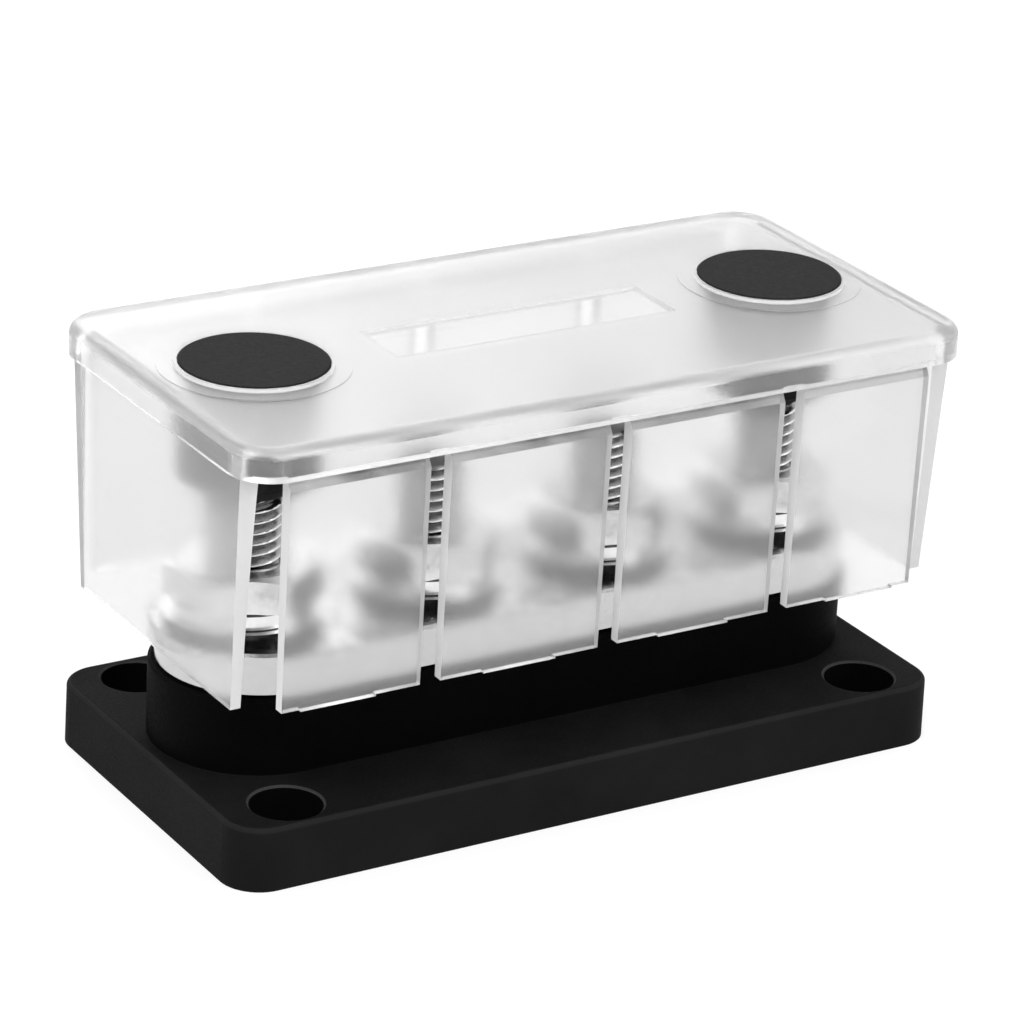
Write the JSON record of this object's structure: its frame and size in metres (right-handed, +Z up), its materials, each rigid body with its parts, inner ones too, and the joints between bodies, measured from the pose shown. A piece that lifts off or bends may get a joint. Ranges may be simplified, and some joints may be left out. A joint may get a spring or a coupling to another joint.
{
  "type": "power distribution block",
  "caption": "Black base with a raised oblong land, a plated busbar with threaded studs, nuts and washers, under a frosted lift-off cover with break-out side panels and round black plugs.",
  "frame": {"origin": "centre of the base's underside", "axes": "+X along the row of studs, +Y across it to the rear long side, +Z up out of the base"},
  "size_m": [0.1108, 0.055, 0.062],
  "materials": {
    "base_plastic": "fine moulded texture",
    "plated_bar": "tin plated over copper alloy, bright",
    "bright_steel": "bright",
    "frosted_cover": "frosted clear polycarbonate with polished edges",
    "plug_rubber": "matte"
  },
  "bodies": {
    "block": {"base": "base_plastic", "busbar": "plated_bar", "stud_1": "bright_steel", "stud_2": "bright_steel", "stud_3": "bright_steel", "stud_4": "bright_steel", "flat_washer_1": "bright_steel", "flat_washer_2": "bright_steel", "flat_washer_3": "bright_steel", "flat_washer_4": "bright_steel"},
    "lid": {"cover": "frosted_cover", "plug_left": "plug_rubber", "plug_right": "plug_rubber"},
    "rise_1": {"lock_washer_1": "bright_steel"},
    "turn_1": {"nut_1": "bright_steel"},
    "rise_2": {"lock_washer_2": "bright_steel"},
    "turn_2": {"nut_2": "bright_steel"},
    "rise_3": {"lock_washer_3": "bright_steel"},
    "turn_3": {"nut_3": "bright_steel"},
    "rise_4": {"lock_washer_4": "bright_steel"},
    "turn_4": {"nut_4": "bright_steel"}
  },
  "joints": [
    {"name": "lid_lift", "type": "slide", "parent": "block", "child": "lid", "axis": [0, 0, 1], "range_m": [0, 0.04]},
    {"name": "nut_1_rise", "type": "slide", "parent": "block", "child": "rise_1", "axis": [0, 0, 1], "range_m": [0, 0.009]},
    {"name": "nut_1_turn", "type": "hinge", "parent": "rise_1", "child": "turn_1", "pos_m": [-0.04065, 0, 0.02965], "axis": [0, 0, 1], "range_deg": [0, 2160]},
    {"name": "nut_2_rise", "type": "slide", "parent": "block", "child": "rise_2", "axis": [0, 0, 1], "range_m": [0, 0.009]},
    {"name": "nut_2_turn", "type": "hinge", "parent": "rise_2", "child": "turn_2", "pos_m": [-0.01355, 0, 0.02965], "axis": [0, 0, 1], "range_deg": [0, 2160]},
    {"name": "nut_3_rise", "type": "slide", "parent": "block", "child": "rise_3", "axis": [0, 0, 1], "range_m": [0, 0.009]},
    {"name": "nut_3_turn", "type": "hinge", "parent": "rise_3", "child": "turn_3", "pos_m": [0.01355, 0, 0.02965], "axis": [0, 0, 1], "range_deg": [0, 2160]},
    {"name": "nut_4_rise", "type": "slide", "parent": "block", "child": "rise_4", "axis": [0, 0, 1], "range_m": [0, 0.009]},
    {"name": "nut_4_turn", "type": "hinge", "parent": "rise_4", "child": "turn_4", "pos_m": [0.04065, 0, 0.02965], "axis": [0, 0, 1], "range_deg": [0, 2160]}
  ],
  "couplings": [
    {"joint": "nut_1_rise", "follows": "nut_1_turn", "m_per_rad": 0.00023873},
    {"joint": "nut_2_rise", "follows": "nut_2_turn", "m_per_rad": 0.00023873},
    {"joint": "nut_3_rise", "follows": "nut_3_turn", "m_per_rad": 0.00023873},
    {"joint": "nut_4_rise", "follows": "nut_4_turn", "m_per_rad": 0.00023873}
  ]
}
